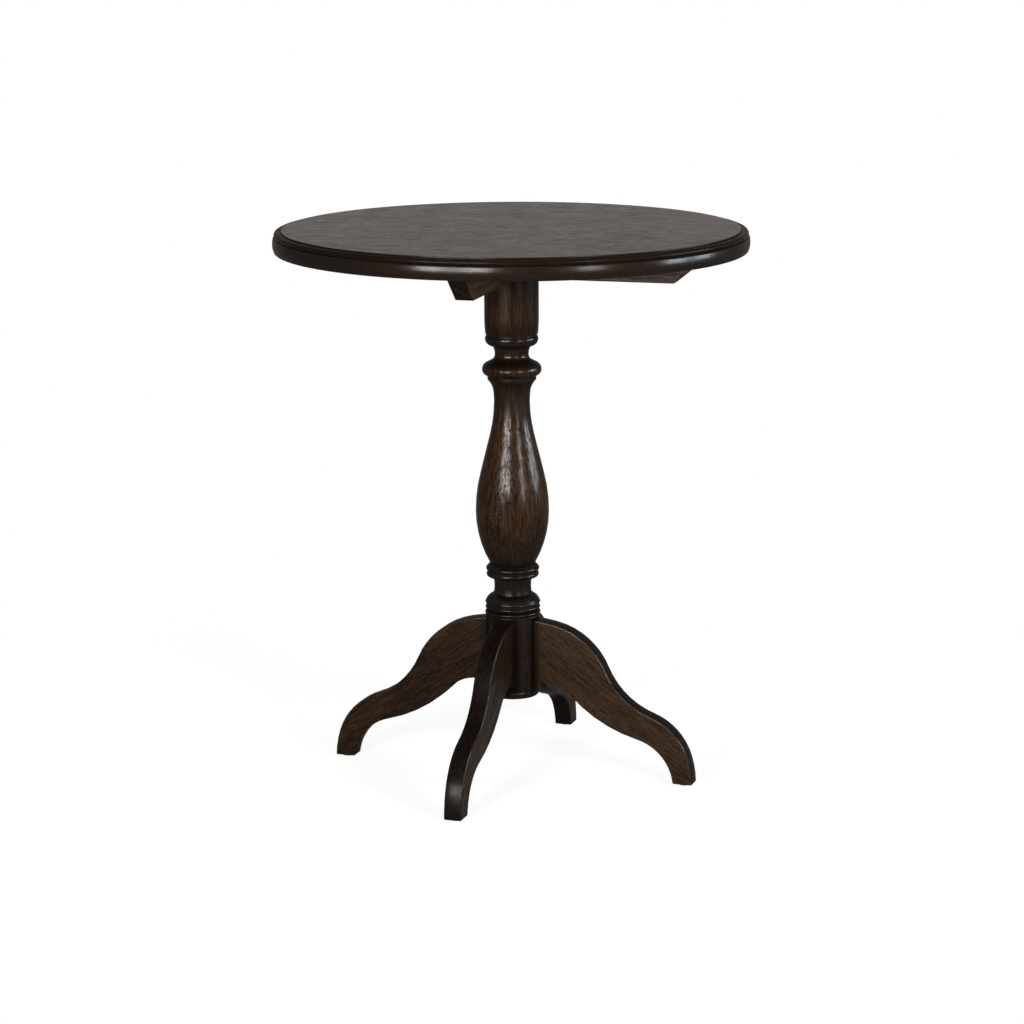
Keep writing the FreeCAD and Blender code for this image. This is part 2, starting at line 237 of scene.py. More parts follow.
class TopSizes(bpy.types.PropertyGroup):
    """Sizes of the table top."""

    radius: length("Radius", "From the axis to the nose of the rim", TOP_RADIUS)
    surface: length("Surface height", "Height of the flat field above the floor", TOP_HIGH.z)
    underside: length("Underside height", "Height of the top's underside above the floor", TOP_LOW.z)
    rim_width: length("Rim width", "From the edge of the field out to the nose", 11.6 * MM)
    rim_step: length("Rim step", "Step down from the field to the ledge", 1.8 * MM)
    field_arris: length("Field arris", "Round along the edge of the field", 0.5 * MM)
    ledge_width: length("Ledge width", "Flat ledge between the step and the bead", 5.8 * MM)
    bead_height: length("Bead height", "Height of the bead under the ledge", 6.8 * MM)
    bead_swell: length("Bead swell", "How far the bead's round stands off its chord", 2.4 * MM)
    quirk_inset: length("Quirk inset", "Groove under the bead, in from the full radius", 3.2 * MM)
    shoulder_height: length("Shoulder height", "From the groove down to the nose's face", 2.2 * MM)
    shoulder_swell: length("Shoulder swell", "How far the shoulder's round stands off its chord", 0.6 * MM)
    nose_top_inset: length("Nose top inset", "Nose below its shoulder, in from the full radius", 0.6 * MM)
    nose_top_height: length("Nose top height", "From the full radius up to the shoulder", 7.0 * MM)
    nose_foot_inset: length("Nose foot inset", "Foot of the nose, in from the full radius", 1.6 * MM)
    underside_round: length("Underside round", "Radius of the round below the nose", 2.1 * MM)
    grain_turn: angle("Grain turn", "From the line of the right leg to the boards' grain", 18.2)
    turn_steps: turning_steps("Faces round the rim", 288, 512)


class ColumnSizes(bpy.types.PropertyGroup):
    """Sizes of the turned column."""

    foot: length("Foot height", "Underside of the column above the floor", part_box("column")[0].z)
    arris: length("Arris", "Softening of the sharp turned edges", 0.35 * MM)
    turn_steps: turning_steps("Faces round the column", 144, 256)


class LegSizes(bpy.types.PropertyGroup):
    """Sizes of the four sawn legs."""

    thickness: length("Thickness", "Thickness of the leg's board", 23.5 * MM)
    arris: length("Arris", "Round along the leg's long edges", 1.9 * MM)
    grain_slope: angle("Grain slope", "Fall of the grain from the column to the foot", 34.0)


class BearerSizes(bpy.types.PropertyGroup):
    """Sizes of the crossed bearers."""

    length: length("Length", "Length along the upper edge", 519.0 * MM)
    width: length("Width", "Thickness of the rail", 23.5 * MM)
    height: length("Height", "Depth of the rail under the top", 36.0 * MM)
    end_cut: length("End cut", "Run of the sloped end along the lower edge", 44.0 * MM)
    turn: angle("Turn", "From the line of the right leg to the long bearer", 2.8)
    arris: length("Arris", "Round along the rail's edges", 1.0 * MM)


class FinishSettings(bpy.types.PropertyGroup):
    """Colours and gloss of the stained and lacquered timber."""

    light_stain: colour("Light stain", "Timber between the grain lines", (0.058, 0.0275, 0.0105))
    dark_stain: colour("Dark stain", "Timber in the dark grain lines", (0.014, 0.0068, 0.0034))
    pore_stain: colour("Pore stain", "Stain gathered in the open pores", (0.0055, 0.0034, 0.0024))
    worn_stain: colour("Worn stain", "Timber where the edges are rubbed", (0.080, 0.052, 0.032))
    tenon_light: colour("Tenon light", "Pale timber of the loose tenons", (0.66, 0.50, 0.33))
    tenon_dark: colour("Tenon dark", "Darker flecks of the loose tenons", (0.48, 0.34, 0.21))
    glide_colour: colour("Glide", "Moulded plastic of the floor glides", (0.030, 0.027, 0.025))
    lacquer_roughness: factor("Lacquer roughness", "Roughness of the satin lacquer", 0.36)


class StageSettings(bpy.types.PropertyGroup):
    """Camera, lamps and floor."""

    camera_azimuth: angle("Camera azimuth", "Round the table from the front leg to the right leg", 18.2176)
    camera_distance: length("Camera distance", "Level distance from the column's axis", 4.1414)
    camera_height: length("Camera height", "Above the floor", 1.2235)
    camera_yaw: angle("Camera yaw", "Turn away from the column's axis", 0.0079)
    camera_pitch: angle("Camera pitch", "Below level", 11.9495)
    camera_roll: angle("Camera roll", "About the line of sight", -0.2652)
    camera_lens: bpy.props.FloatProperty(
        name="Lens", description="Focal length on a 36 mm sensor", default=114.44, unit="CAMERA")
    lamp_distance: length("Lamp distance", "From the column's axis to each lamp", 2.6)
    lamp_aim: length("Lamp aim", "Height that the lamps point at", 0.48)
    fill_strength: factor("Fill strength", "Soft light from all round", 0.04)
    floor_colour: colour("Floor", "Colour of the studio floor", (0.32, 0.32, 0.32))


class TableSettings(bpy.types.PropertyGroup):
    """All the settings of the table."""

    top: settings_of(TopSizes, "Top", "Sizes of the top")
    column: settings_of(ColumnSizes, "Column", "Sizes of the column")
    leg: settings_of(LegSizes, "Legs", "Sizes of the legs")
    bearer: settings_of(BearerSizes, "Bearers", "Sizes of the bearers")
    finish: settings_of(FinishSettings, "Finish", "Colours and gloss")
    stage: settings_of(StageSettings, "Stage", "Camera, lamps and floor")


# Mesh work


class SideLine:
    """A line drawn in the side view of a mesh, as distance from the axis and height in metres."""

    STEP_ANGLE = math.radians(7.0)
    LEAST_STEPS = 3
    CORNER_MARGIN = 0.8 * MM

    def __init__(self, mesh, x, z, slope=0.0):
        self.mesh = mesh
        self.start = mesh.verts.new((x, 0, z))
        self.tip = self.start
        self.heading = math.radians(slope)

    def line(self, x, z):
        self.tip = bmesh.ops.extrude_vert_indiv(self.mesh, verts=[self.tip])["verts"][0]
        self.tip.co = (x, 0, z)

    def stretch(self, x, z):
        """A line with a point near each end, which keeps wear, glaze, painted shade and bent shading near
        the corners.
        """
        here, there = self.tip.co.copy(), Vector((x, 0, z))
        margin = (there - here).normalized() * self.CORNER_MARGIN
        if (there - here).length > 3 * self.CORNER_MARGIN:
            for point in (here + margin, there - margin):
                self.line(point.x, point.z)
        self.line(x, z)

    def arc(self, x, z, swell):
        """An arc whose middle stands off its chord by swell, to the right of the way."""
        here, there = self.tip.co.copy(), Vector((x, 0, z))
        chord = there - here
        side = Vector((chord.z, 0, -chord.x)).normalized()
        spread = 2 * math.atan(2 * swell / chord.length)
        centre = (here + there) / 2 + side * (swell - chord.length / (2 * math.sin(spread)))
        steps = max(self.LEAST_STEPS, math.ceil(abs(2 * spread) / self.STEP_ANGLE))
        turn = bmesh.ops.spin(
            self.mesh, geom=[self.tip], cent=centre, axis=(0, 1, 0), angle=-2 * spread, steps=steps)
        self.tip = [v for v in turn["geom_last"] if isinstance(v, bmesh.types.BMVert)][0]
        self.tip.co = there

    def tangent_arc(self, x, z):
        """An arc that goes on from the last stretch without a corner."""
        chord = Vector((x - self.tip.co.x, z - self.tip.co.z))
        course = math.atan2(chord.y, chord.x)
        turn = course - self.heading
        self.arc(x, z, math.tan(turn / 2) * chord.length / 2)
        self.heading = course + turn

    def upright_arc(self, x, z, ends_upright=False):
        """A convex arc that stands upright where it starts, or where it ends."""
        across, rise = x - self.tip.co.x, z - self.tip.co.z
        lean = math.atan2(across if ends_upright else -across, rise)
        self.arc(x, z, math.hypot(across, rise) / 2 * math.tan(lean / 2))

    def quarter(self, x, z):
        """A convex quarter round."""
        chord = math.hypot(x - self.tip.co.x, z - self.tip.co.z)
        self.arc(x, z, chord * (math.sqrt(2) - 1) / 2)


def spin_solid(mesh, steps):
    """Turns the drawn line into a closed solid about the upright axis."""
    bmesh.ops.spin(
        mesh, geom=mesh.verts[:] + mesh.edges[:], cent=(0, 0, 0), axis=(0, 0, 1),
        angle=2 * math.pi, steps=steps, use_merge=True)
    bmesh.ops.remove_doubles(mesh, verts=mesh.verts[:], dist=MERGE_DISTANCE)
    bmesh.ops.recalc_face_normals(mesh, faces=mesh.faces[:])


def corner_edges(mesh):
    """Edges that stand out at a corner."""
    return [e for e in mesh.edges if e.is_manifold and e.is_convex and e.calc_face_angle() > CORNER_ANGLE]


def round_edges(mesh, edges, offset, segments):
    bmesh.ops.bevel(
        mesh, geom=edges, offset=offset, offset_type="OFFSET", segments=segments, profile=0.5,
        affect="EDGES", material=-1, clamp_overlap=True)
    bmesh.ops.recalc_face_normals(mesh, faces=mesh.faces[:])


def extrude_board(mesh, thickness):
    """Fills the drawn outline and gives it a thickness, half to each side."""
    bmesh.ops.edgeloop_fill(mesh, edges=mesh.edges[:])
    side = bmesh.ops.extrude_face_region(mesh, geom=mesh.faces[:])
    moved = [v for v in side["geom"] if isinstance(v, bmesh.types.BMVert)]
    bmesh.ops.translate(mesh, verts=moved, vec=(0, thickness, 0))
    bmesh.ops.translate(mesh, verts=mesh.verts[:], vec=(0, -thickness / 2, 0))
    bmesh.ops.recalc_face_normals(mesh, faces=mesh.faces[:])


def frame_flat_sides(mesh, margin):
    """A narrow ring inside each flat side, so that the rounds beside it don't bend its shading."""
    sides = [f for f in mesh.faces if abs(f.normal.y) > FLAT_FACING and len(f.verts) > 4]
    bmesh.ops.inset_individual(mesh, faces=sides, thickness=margin, use_even_offset=True)


def cut_through(mesh, point, outward, clear_outer=False):
    """Cuts the whole mesh at a plane, and gives the edges of the cut."""
    cut = bmesh.ops.bisect_plane(
        mesh, geom=mesh.verts[:] + mesh.edges[:] + mesh.faces[:], dist=CUT_TOLERANCE,
        plane_co=point, plane_no=outward, clear_outer=clear_outer)
    return [e for e in cut["geom_cut"] if isinstance(e, bmesh.types.BMEdge)]


def turn_about_axis(mesh, degrees):
    bmesh.ops.rotate(
        mesh, verts=mesh.verts[:], cent=(0, 0, 0), matrix=Matrix.Rotation(math.radians(degrees), 3, "Z"))


def mark_edges(mesh):
    """Keeps how far each point stands out or lies in a groove, for the wear, and for the dark glaze and
    painted shade in the grooves.
    """
    arris = mesh.verts.layers.float.new("arris")
    groove = mesh.verts.layers.float.new("groove")
    for vert in mesh.verts:
        bends = [e.calc_face_angle_signed() for e in vert.link_edges if e.is_manifold]
        vert[arris] = min(1.0, max([0.0] + bends) / FULL_WEAR_ANGLE)
        vert[groove] = min(1.0, max([0.0] + [-bend for bend in bends]) / FULL_WEAR_ANGLE)


def glaze_and_shade_at(levels, height):
    """Glaze and painted shade at a height, between the heights and levels that are given."""
    for (low, first), (high, second) in zip(levels, levels[1:]):
        if height <= high:
            return first + (second - first) * (height - low) / (high - low)
    return levels[-1][1]


def mark(mesh, name, amount):
    """Keeps a value under that name at each point, which amount works out for a vertex."""
    layer = mesh.verts.layers.float.new(name)
    for vert in mesh.verts:
        vert[layer] = amount(vert)


def smooth_step(value, low, high):
    """From 0 at the low value to 1 at the high one, flat at both ends."""
    share = min(1.0, max(0.0, (value - low) / (high - low)))
    return share * share * (3 - 2 * share)


def degrees_off_leg(vert):
    """Angle about the axis from the nearest leg."""
    quarter = 90.0
    turn = math.degrees(math.atan2(vert.co.y, vert.co.x))
    return abs((turn + quarter / 2) % quarter - quarter / 2)


def on_edge(vert):
    """Whether a point of a board in the side view lies on the board's edge."""
    return any(abs(face.normal.y) < EDGE_FACING for face in vert.link_faces)


def add_object(name, data):
    made = bpy.data.objects.new(name, data)
    bpy.context.scene.collection.objects.link(made)
    return made


def finish_piece(mesh, name, material):
    """Makes the mesh an object of the table that stands for the CAD node of that name."""
    if "arris" not in mesh.verts.layers.float:
        mark_edges(mesh)
    for face in mesh.faces:
        face.smooth = True
    for edge in mesh.edges:
        edge.smooth = edge.is_manifold and edge.calc_face_angle() < SHARP_ANGLE
    data = bpy.data.meshes.new(name + "_mesh")
    mesh.to_mesh(data)
    mesh.free()
    data.materials.append(material)
    piece = add_object(name + "_piece", data)
    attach(piece, "root")
    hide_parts(name)


def finish_node(name, material):
    """Gives its material to a CAD node that stays as it is."""
    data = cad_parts[name].data
    data.materials.clear()
    data.materials.append(material)


# Node groups


FLOAT = "NodeSocketFloat"
COLOUR = "NodeSocketColor"
VECTOR = "NodeSocketVector"


def new_group(name, inputs, outputs):
    """An empty shader node group, as (tree, the sockets that go in, the sockets that come out)."""
    tree = bpy.data.node_groups.new(name, "ShaderNodeTree")
    for socket, kind, default in inputs:
        made = tree.interface.new_socket(name=socket, in_out="INPUT", socket_type=kind)
        if default is not None:
            made.default_value = default
    for socket, kind in outputs:
        tree.interface.new_socket(name=socket, in_out="OUTPUT", socket_type=kind)
    ins = tree.nodes.new("NodeGroupInput").outputs
    outs = tree.nodes.new("NodeGroupOutput").inputs
    return tree, ins, outs


def plug(tree, socket, value):
    """Sets a socket to a number or colour, or links it to another socket."""
    if isinstance(value, bpy.types.NodeSocket):
        tree.links.new(value, socket)
    else:
        socket.default_value = value


def maths(tree, operation, first, second=0.0, clamp=False):
    node = tree.nodes.new("ShaderNodeMath")
    node.operation = operation
    node.use_clamp = clamp
    plug(tree, node.inputs[0], first)
    plug(tree, node.inputs[1], second)
    return node.outputs[0]


def times(tree, first, second):
    return maths(tree, "MULTIPLY", first, second)


def plus(tree, first, second):
    return maths(tree, "ADD", first, second)


def ramp(tree, value, low, high, to_low=0.0, to_high=1.0):
    node = tree.nodes.new("ShaderNodeMapRange")
    node.interpolation_type = "SMOOTHSTEP"
    plug(tree, node.inputs["Value"], value)
    plug(tree, node.inputs["From Min"], low)
    plug(tree, node.inputs["From Max"], high)
    plug(tree, node.inputs["To Min"], to_low)
    plug(tree, node.inputs["To Max"], to_high)
    return node.outputs["Result"]


def blend_colours(tree, amount, first, second):
    node = tree.nodes.new("ShaderNodeMix")
    node.data_type = "RGBA"
    plug(tree, node.inputs["Factor"], amount)
    plug(tree, node.inputs["A"], first)
    plug(tree, node.inputs["B"], second)
    return node.outputs["Result"]


def noise_texture(tree, vector, scale, detail, roughness=0.5):
    node = tree.nodes.new("ShaderNodeTexNoise")
    plug(tree, node.inputs["Vector"], vector)
    node.inputs["Scale"].default_value = scale
    node.inputs["Detail"].default_value = detail
    node.inputs["Roughness"].default_value = roughness
    return node.outputs["Fac"]


def grain_noise(tree, vector, width, run, detail, roughness):
    """Noise drawn out along X: width across the grain in metres, and run times that along it."""
    shape = tree.nodes.new("ShaderNodeCombineXYZ")
    plug(tree, shape.inputs["X"], maths(tree, "DIVIDE", 1.0, run))
    shape.inputs["Y"].default_value = 1.0
    shape.inputs["Z"].default_value = 1.0
    stretch = tree.nodes.new("ShaderNodeVectorMath")
    stretch.operation = "MULTIPLY"
    plug(tree, stretch.inputs[0], vector)
    plug(tree, stretch.inputs[1], shape.outputs["Vector"])
    scale = tree.nodes.new("ShaderNodeVectorMath")
    scale.operation = "SCALE"
    plug(tree, scale.inputs[0], stretch.outputs[0])
    plug(tree, scale.inputs["Scale"], maths(tree, "DIVIDE", 1.0, width))
    return noise_texture(tree, scale.outputs[0], 1.0, detail, roughness)


def timber_figure_group():
    """Bands, streaks and open pores of timber whose grain runs along X."""
    tree, ins, outs = new_group(
        "timber_figure",
        [("Vector", VECTOR, None), ("Band Width", FLOAT, PLAIN_FIGURE.band),
         ("Streak Width", FLOAT, PLAIN_FIGURE.streak), ("Pore Width", FLOAT, PLAIN_FIGURE.pore),
         ("Fibre Width", FLOAT, PLAIN_FIGURE.fibre), ("Fibre Run", FLOAT, PLAIN_FIGURE.fibre_run)],
        [("Bands", FLOAT), ("Streaks", FLOAT), ("Pores", FLOAT), ("Fibres", FLOAT)])
    vector = ins["Vector"]
    fibre_run = ins["Fibre Run"]
    bands = grain_noise(tree, vector, ins["Band Width"], run=9.0, detail=2.0, roughness=0.5)
    streaks = grain_noise(tree, vector, ins["Streak Width"], run=16.0, detail=4.0, roughness=0.6)
    pores = grain_noise(tree, vector, ins["Pore Width"], run=18.0, detail=2.0, roughness=0.5)
    fibres = grain_noise(tree, vector, ins["Fibre Width"], run=fibre_run, detail=2.0, roughness=0.6)
    plug(tree, outs["Bands"], ramp(tree, bands, low=0.32, high=0.68))
    plug(tree, outs["Streaks"], ramp(tree, streaks, low=0.40, high=0.60))
    plug(tree, outs["Pores"], ramp(tree, pores, low=0.57, high=0.66))
    plug(tree, outs["Fibres"], ramp(tree, fibres, low=0.38, high=0.62))
    return tree


def stain_group():
    """Stain colour from the figure, darker in end grain, darker in the grooves and where dark glaze and
    painted shade are marked, and rubbed on the arrises.
    """
    tree, ins, outs = new_group(
        "timber_stain",
        [("Bands", FLOAT, 0.5), ("Streaks", FLOAT, 0.5), ("Pores", FLOAT, 0.0), ("Fibres", FLOAT, 0.5),
         ("End Grain", FLOAT, 0.0), ("Arris", FLOAT, 0.0), ("Groove", FLOAT, 0.0), ("Glaze", FLOAT, 0.0),
         ("Light", COLOUR, None), ("Dark", COLOUR, None), ("Pore", COLOUR, None), ("Worn", COLOUR, None)],
        [("Color", COLOUR)])
    dark = ins["Dark"]
    pore = ins["Pore"]
    bands = times(tree, ins["Bands"], 0.28)
    streaks = times(tree, ins["Streaks"], 0.40)
    fibres = times(tree, ins["Fibres"], 0.32)
    tone = plus(tree, bands, plus(tree, streaks, fibres))
    ground = blend_colours(tree, tone, dark, ins["Light"])
    soak = times(tree, ins["End Grain"], 0.75)
    soaked = blend_colours(tree, soak, ground, dark)
    pored = blend_colours(tree, times(tree, ins["Pores"], 0.75), soaked, pore)
    # Darker in the grooves and where glaze and painted shade are marked
    in_groove = times(tree, ins["Groove"], 0.9)
    darkened = maths(tree, "MAXIMUM", in_groove, ins["Glaze"])
    glazed_and_shaded = blend_colours(tree, darkened, pored, pore)
    patches = times(tree, ins["Streaks"], 0.5)
    rub = times(tree, ins["Arris"], patches)
    plug(tree, outs["Color"], blend_colours(tree, rub, glazed_and_shaded, ins["Worn"]))
    return tree


def lacquer_group():
    """Roughness and relief of the satin lacquer, which sinks into the pores and is smudged by use."""
    tree, ins, outs = new_group(
        "satin_lacquer",
        [("Vector", VECTOR, None), ("Streaks", FLOAT, 0.5), ("Pores", FLOAT, 0.0), ("Fibres", FLOAT, 0.5),
         ("Glaze", FLOAT, 0.0), ("Dull", FLOAT, 0.0), ("Roughness", FLOAT, 0.36), ("Relief", FLOAT, 0.4)],
        [("Roughness", FLOAT), ("Height", FLOAT), ("Film", FLOAT)])
    streaks = ins["Streaks"]
    pores = ins["Pores"]
    fibres = ins["Fibres"]
    glaze_and_shade = ins["Glaze"]
    smudges = noise_texture(tree, ins["Vector"], scale=22.0, detail=3.0)
    smudged = ramp(tree, smudges, 0.3, 0.7, to_low=-0.04, to_high=0.05)
    streaked = ramp(tree, streaks, 0.0, 1.0, to_low=0.04, to_high=-0.03)
    matt = plus(tree, times(tree, pores, 0.12), streaked)
    satin = plus(tree, plus(tree, ins["Roughness"], smudged), matt)
    plug(tree, outs["Roughness"], satin)
    filled = ramp(tree, glaze_and_shade, 0.0, 1.0, to_low=1.0, to_high=0.35)
    relief = times(tree, ins["Relief"], filled)
    fibre_lift = ramp(tree, fibres, 0.0, 1.0, to_low=-0.5, to_high=0.5)
    streak_lift = ramp(tree, streaks, 0.0, 1.0, to_low=-0.5, to_high=0.5)
    lift = plus(tree, fibre_lift, streak_lift)
    thickness = plus(tree, times(tree, relief, lift), 1.0)
    hollows = times(tree, relief, times(tree, pores, 0.8))
    film = times(tree, thickness, maths(tree, "SUBTRACT", 1.0, hollows, clamp=True))
    levelled = plus(tree, times(tree, glaze_and_shade, 0.4), 1.0)
    polish = maths(tree, "SUBTRACT", 1.0, ins["Dull"], clamp=True)
    shine = times(tree, levelled, polish)
    plug(tree, outs["Film"], times(tree, film, shine))
    sunk = times(tree, pores, -0.6)
    raised = times(tree, fibres, 0.4)
    plug(tree, outs["Height"], plus(tree, raised, sunk))
    return tree


def group_node(tree, name, maker, **values):
    """Puts a node group, which is built once, into a material with its own values."""
    node = tree.nodes.new("ShaderNodeGroup")
    node.node_tree = bpy.data.node_groups.get(name) or maker()
    for socket, value in values.items():
        plug(tree, node.inputs[socket.replace("_", " ")], value)
    return node


# Materials


def empty_material(name):
    material = bpy.data.materials.new(name)
    material.use_nodes = True
    material.node_tree.nodes.clear()
    return material, material.node_tree


def principled_material(name):
    """A material with a plain surface, as (material, tree, surface shader)."""
    material, tree = empty_material(name)
    shader = tree.nodes.new("ShaderNodeBsdfPrincipled")
    output = tree.nodes.new("ShaderNodeOutputMaterial")
    tree.links.new(shader.outputs["BSDF"], output.inputs["Surface"])
    return material, tree, shader


def object_place(tree):
    """Where a point lies on its own piece."""
    return tree.nodes.new("ShaderNodeTexCoord").outputs["Object"]


def relief_normal(tree, height, strength, depth):
    """Normal of a surface with a relief of that depth."""
    bump = tree.nodes.new("ShaderNodeBump")
    bump.inputs["Strength"].default_value = strength
    bump.inputs["Distance"].default_value = depth
    tree.links.new(height, bump.inputs["Height"])
    return bump.outputs["Normal"]


def surface_value(tree, name):
    """A value kept on the points of the mesh."""
    node = tree.nodes.new("ShaderNodeAttribute")
    node.attribute_name = name
    return node.outputs["Fac"]


def end_grain_amount(tree, grain):
    """1 where the surface lies across the grain."""
    geometry = tree.nodes.new("ShaderNodeNewGeometry")
    facing = tree.nodes.new("ShaderNodeVectorMath")
    facing.operation = "DOT_PRODUCT"
    plug(tree, facing.inputs[0], geometry.outputs["Normal"])
    facing.inputs[1].default_value = grain
    return ramp(tree, maths(tree, "ABSOLUTE", facing.outputs["Value"]), low=0.25, high=0.95)


def rgba(values):
    return (values[0], values[1], values[2], 1.0)


def gloss_weight(tree, gloss, film, glaze_and_shade):
    """Weight of the clear coat, which sinks into the grain and shows less aslant where dark glaze and
    painted shade are marked.
    """
    facing = tree.nodes.new("ShaderNodeLayerWeight")
    facing.inputs["Blend"].default_value = 0.5
    edge_weight = ramp(tree, glaze_and_shade, 0.0, 1.0, gloss.edge_weight, 0.0)
    weight = ramp(tree, facing.outputs["Facing"], 0.2, 0.7, gloss.weight, edge_weight)
    return times(tree, weight, film)


def timber(name, grain_turn, shift, tones, roughness, gloss, figure=PLAIN_FIGURE, upright_scale=1.0):
    """Stained and lacquered timber.

    The turn brings the grain on to X, and the shift picks the place in the log.
    """
    material, tree, shader = principled_material(name)
    mapping = tree.nodes.new("ShaderNodeMapping")
    mapping.inputs["Rotation"].default_value = grain_turn.to_euler("XYZ")
    mapping.inputs["Location"].default_value = shift
    mapping.inputs["Scale"].default_value = (1.0, 1.0, upright_scale)
    tree.links.new(object_place(tree), mapping.inputs["Vector"])
    vector = mapping.outputs["Vector"]
    grain = grain_turn.transposed() @ Vector((1, 0, 0))
    lines = group_node(
        tree, "timber_figure", timber_figure_group, Vector=vector, Band_Width=figure.band,
        Streak_Width=figure.streak, Pore_Width=figure.pore, Fibre_Width=figure.fibre,
        Fibre_Run=figure.fibre_run)
    streaks = lines.outputs["Streaks"]
    pores = lines.outputs["Pores"]
    fibres = lines.outputs["Fibres"]
    # Dark glaze and painted shade marked on the mesh
    glaze_and_shade = surface_value(tree, "glaze_and_shade")
    light, dark, pore, worn = [rgba(tone) for tone in tones]
    stain = group_node(
        tree, "timber_stain", stain_group, Bands=lines.outputs["Bands"], Streaks=streaks, Pores=pores,
        Fibres=fibres, End_Grain=end_grain_amount(tree, grain), Arris=surface_value(tree, "arris"),
        Groove=surface_value(tree, "groove"), Glaze=glaze_and_shade, Light=light, Dark=dark, Pore=pore, Worn=worn)
    lacquer = group_node(
        tree, "satin_lacquer", lacquer_group, Vector=vector, Streaks=streaks, Pores=pores, Fibres=fibres,
        Glaze=glaze_and_shade, Dull=surface_value(tree, "dull"), Roughness=roughness, Relief=gloss.relief)
    normal = relief_normal(tree, lacquer.outputs["Height"], strength=0.35, depth=0.25 * MM)
    tree.links.new(stain.outputs["Color"], shader.inputs["Base Color"])
    tree.links.new(lacquer.outputs["Roughness"], shader.inputs["Roughness"])
    tree.links.new(normal, shader.inputs["Normal"])
    plug(tree, shader.inputs["Coat Weight"], gloss_weight(tree, gloss, lacquer.outputs["Film"], glaze_and_shade))
    shader.inputs["Coat Roughness"].default_value = gloss.roughness
    shader.inputs["Specular IOR Level"].default_value = TIMBER_SPECULAR
    return material


def stained_tones(finish, depth=0.0, paling=0.0):
    """Light, dark, pore and worn tones of the stain.

    Paling takes the light tone towards the worn one, and depth takes all of them towards the pores' tone;
    both are used to paint light and shade on whole boards.
    """
    deep = Vector(finish.pore_stain)
    light = Vector(finish.light_stain).lerp(Vector(finish.worn_stain), paling)
    tones = (light, finish.dark_stain, finish.pore_stain, finish.worn_stain)
    return [Vector(tone).lerp(deep, depth) for tone in tones]


def glide_plastic(finish):
    """Moulded plastic with a fine grain and scuffs."""
    material, tree, shader = principled_material("glide_plastic")
    place = object_place(tree)
    grain = noise_texture(tree, place, scale=1800.0, detail=2.0)
    scuffs = noise_texture(tree, place, scale=260.0, detail=4.0)
    pale = [min(1.0, 2.2 * channel) for channel in finish.glide_colour]
    amount = ramp(tree, scuffs, low=0.52, high=0.72)
    tint = blend_colours(tree, amount, rgba(finish.glide_colour), rgba(pale))
    tree.links.new(tint, shader.inputs["Base Color"])
    tree.links.new(ramp(tree, scuffs, 0.3, 0.7, to_low=0.45, to_high=0.65), shader.inputs["Roughness"])
    tree.links.new(relief_normal(tree, grain, strength=0.25, depth=0.1 * MM), shader.inputs["Normal"])
    return material


# Pieces of the table


def top_blank(sizes):
    """Mesh of the whole round top with its step, ledge, bead, quirk and rounded nose."""
    mesh = bmesh.new()
    field_radius = sizes.radius - sizes.rim_width
    foot_radius = sizes.radius - sizes.nose_foot_inset
    ledge = sizes.surface - sizes.rim_step
    quirk = ledge - sizes.bead_height
    shoulder = quirk - sizes.shoulder_height
    rim = SideLine(mesh, 0, sizes.underside)
    rim.stretch(foot_radius - sizes.underside_round, sizes.underside)
    rim.quarter(foot_radius, sizes.underside + sizes.underside_round)
    rim.upright_arc(sizes.radius, shoulder - sizes.nose_top_height, ends_upright=True)
    rim.upright_arc(sizes.radius - sizes.nose_top_inset, shoulder)
    rim.arc(sizes.radius - sizes.quirk_inset, quirk, sizes.shoulder_swell)
    rim.arc(field_radius + sizes.ledge_width, ledge, sizes.bead_swell)
    rim.stretch(field_radius, ledge)
    rim.line(field_radius, sizes.surface - sizes.field_arris)
    rim.quarter(field_radius - sizes.field_arris, sizes.surface)
    rim.stretch(0, sizes.surface)
    spin_solid(mesh, sizes.turn_steps)

    def on_rim(vert):
        return vert.co.xy.length > field_radius - MARK_MARGIN

    def on_bead(vert):
        return quirk - MARK_MARGIN < vert.co.z < ledge + MARK_MARGIN

    # The rim is darker than the field: dark glaze with painted shade.
    mark(mesh, "glaze_and_shade", lambda vert: RIM_GLAZE_AND_SHADE if on_rim(vert) else 0.0)
    mark(mesh, "dull", lambda vert: BEAD_DULL if on_bead(vert) else 0.0)
    mark_edges(mesh)
    return mesh


def cut_board(mesh, low, high, along):
    """Keeps the part of the top between two glue lines."""
    across = Vector((-along.y, along.x, 0))
    for distance, outward in ((low, -across), (high, across)):
        rims = cut_through(mesh, across * distance, outward, clear_outer=True)
        if rims:
            bmesh.ops.edgeloop_fill(mesh, edges=rims)
    bmesh.ops.recalc_face_normals(mesh, faces=mesh.faces[:])


class BuildTop(bpy.types.Operator):
    """Build the five boards of the table top"""

    bl_idname = "side_table.build_top"
    bl_label = "Top boards"

    def execute(self, context):
        settings = context.scene.side_table
        sizes, finish = settings.top, settings.finish
        along = Vector((math.cos(sizes.grain_turn), math.sin(sizes.grain_turn), 0))
        grain_turn = Matrix.Rotation(-sizes.grain_turn, 3, "Z")
        blank = top_blank(sizes)
        width = 2 * sizes.radius / len(BOARDS)
        for number, name in enumerate(BOARDS):
            low = number * width - sizes.radius
            board = blank.copy()
            cut_board(board, low, low + width, along)
            log_shift = (0.37 * number, 0.02 * number, 0.11 * number)
            wood = timber(
                name + "_wood", grain_turn, log_shift, stained_tones(finish),
                roughness=finish.lacquer_roughness + TOP_MATT, gloss=TOP_GLOSS, figure=TOP_FIGURE,
                upright_scale=TOP_UPRIGHT_SCALE)
            finish_piece(board, name, wood)
        blank.free()
        return {"FINISHED"}


